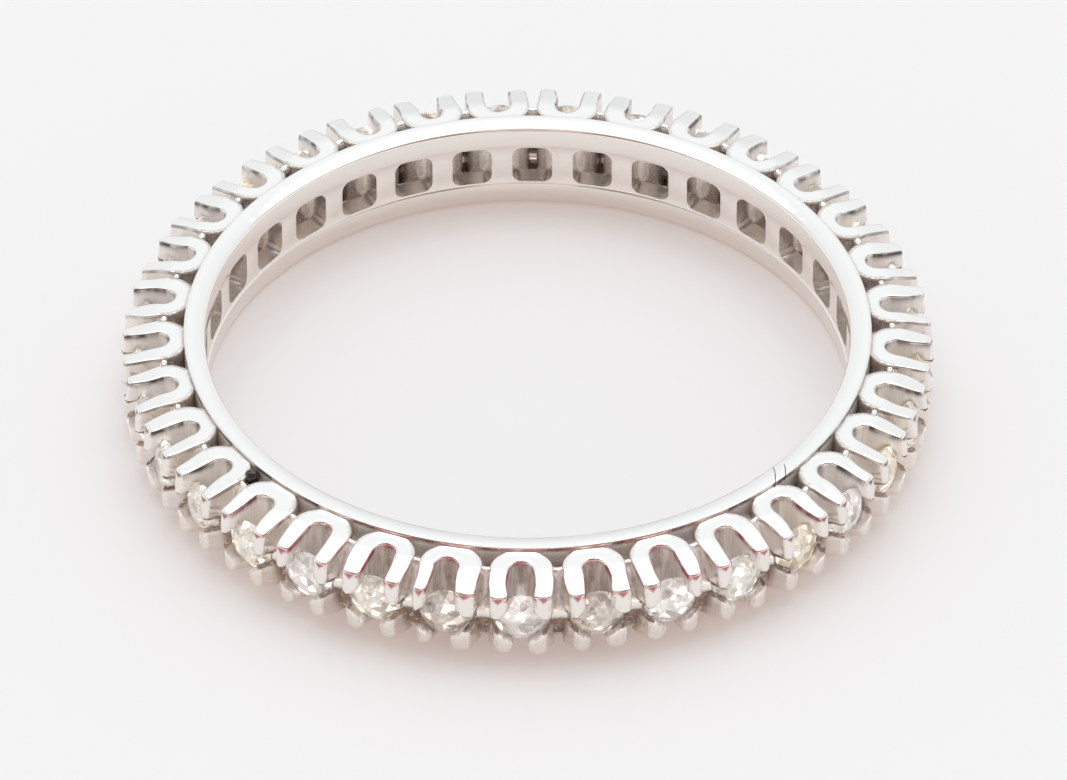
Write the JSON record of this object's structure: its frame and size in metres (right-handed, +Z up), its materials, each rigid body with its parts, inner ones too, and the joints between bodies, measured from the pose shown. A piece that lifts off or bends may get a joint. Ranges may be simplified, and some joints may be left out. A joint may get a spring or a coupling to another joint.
{
  "type": "eternity ring",
  "caption": "Full eternity ring in white metal: a fluted crown of round-backed claw cells, each with a small round stone, between two plain rails. Lies on its side.",
  "frame": {"origin": "middle of the finger hole, on the flat of the lower rail", "axes": "+Z up along the finger hole's axis; stone_01 faces -Y"},
  "size_m": [0.0214, 0.0214, 0.0026],
  "materials": {
    "white_gold": "polished white gold, with fine hand-filed flutes",
    "diamond": "clear cut stone, some faintly tinted"
  },
  "bodies": {
    "root": {"setting": "white_gold", "stone_01": "diamond", "stone_02": "diamond", "stone_03": "diamond", "stone_04": "diamond", "stone_05": "diamond", "stone_06": "diamond", "stone_07": "diamond", "stone_08": "diamond", "stone_09": "diamond", "stone_10": "diamond", "stone_11": "diamond", "stone_12": "diamond", "stone_13": "diamond", "stone_14": "diamond", "stone_15": "diamond", "stone_16": "diamond", "stone_17": "diamond", "stone_18": "diamond", "stone_19": "diamond", "stone_20": "diamond", "stone_21": "diamond", "stone_22": "diamond", "stone_23": "diamond", "stone_24": "diamond", "stone_25": "diamond", "stone_26": "diamond", "stone_27": "diamond", "stone_28": "diamond", "stone_29": "diamond", "stone_30": "diamond", "stone_31": "diamond", "stone_32": "diamond", "stone_33": "diamond"}
  },
  "joints": []
}
